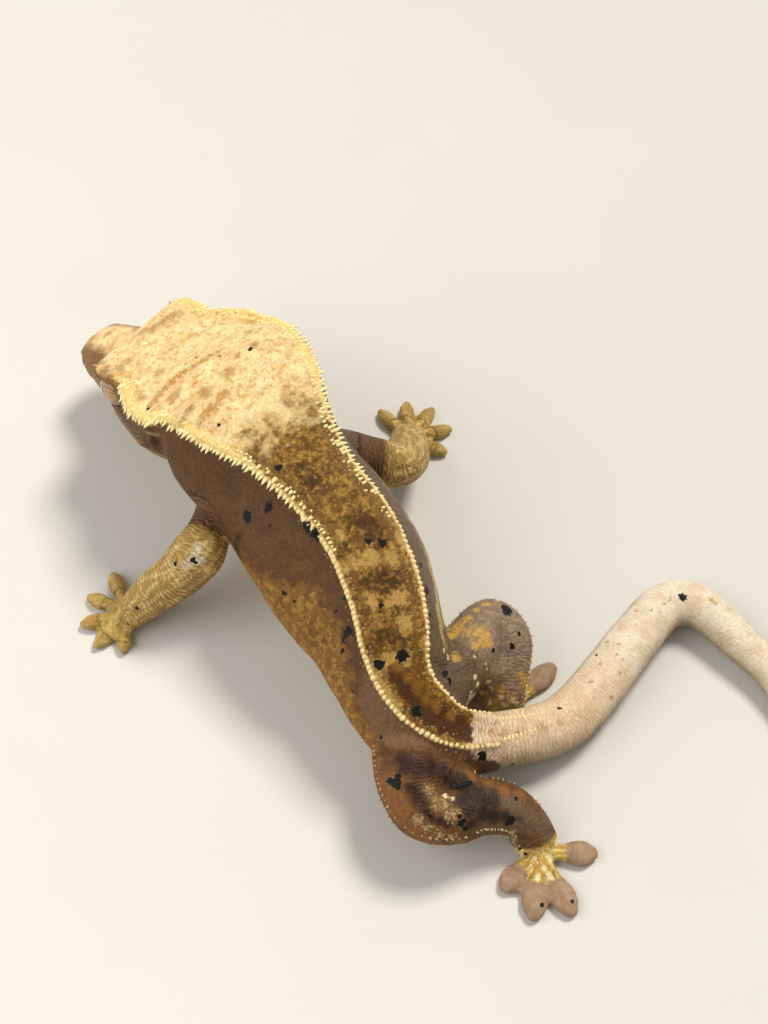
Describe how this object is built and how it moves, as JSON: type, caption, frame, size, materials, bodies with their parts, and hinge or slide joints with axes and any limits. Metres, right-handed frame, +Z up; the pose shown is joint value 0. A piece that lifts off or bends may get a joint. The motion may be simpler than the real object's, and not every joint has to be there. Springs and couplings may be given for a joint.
{
  "type": "crested gecko",
  "caption": "Life-size still model of a crested gecko at rest, head turned, crest scales along head and back, tail curled on the floor.",
  "frame": {"origin": "middle of the bounding box on the floor", "axes": "+Z up, the trunk lies along Y with the head towards -Y, and +X is the animal's left"},
  "size_m": [0.0846, 0.122, 0.0302],
  "materials": {
    "skin": "dry granular skin, golden ochre back, brown flanks, cream crest scales and dark spots",
    "tail_skin": "dry cream skin with fine rings and ochre flecks",
    "toe_skin": "yellow scaled instep and brown toe pads",
    "eye": "wet, clear cornea over a copper iris with an upright slit pupil"
  },
  "bodies": {
    "root": {"head": "skin", "neck": "skin", "torso": "skin", "tail_base": "tail_skin", "tail_middle": "tail_skin", "tail_tip": "tail_skin", "eye_left": "eye", "eye_right": "eye", "fore_left_upper": "skin", "fore_left_lower": "skin", "fore_left_foot": "toe_skin", "fore_right_upper": "skin", "fore_right_lower": "skin", "fore_right_foot": "toe_skin", "hind_left_upper": "skin", "hind_left_lower": "skin", "hind_left_foot": "toe_skin", "hind_right_upper": "skin", "hind_right_lower": "skin", "hind_right_foot": "toe_skin"}
  },
  "joints": []
}
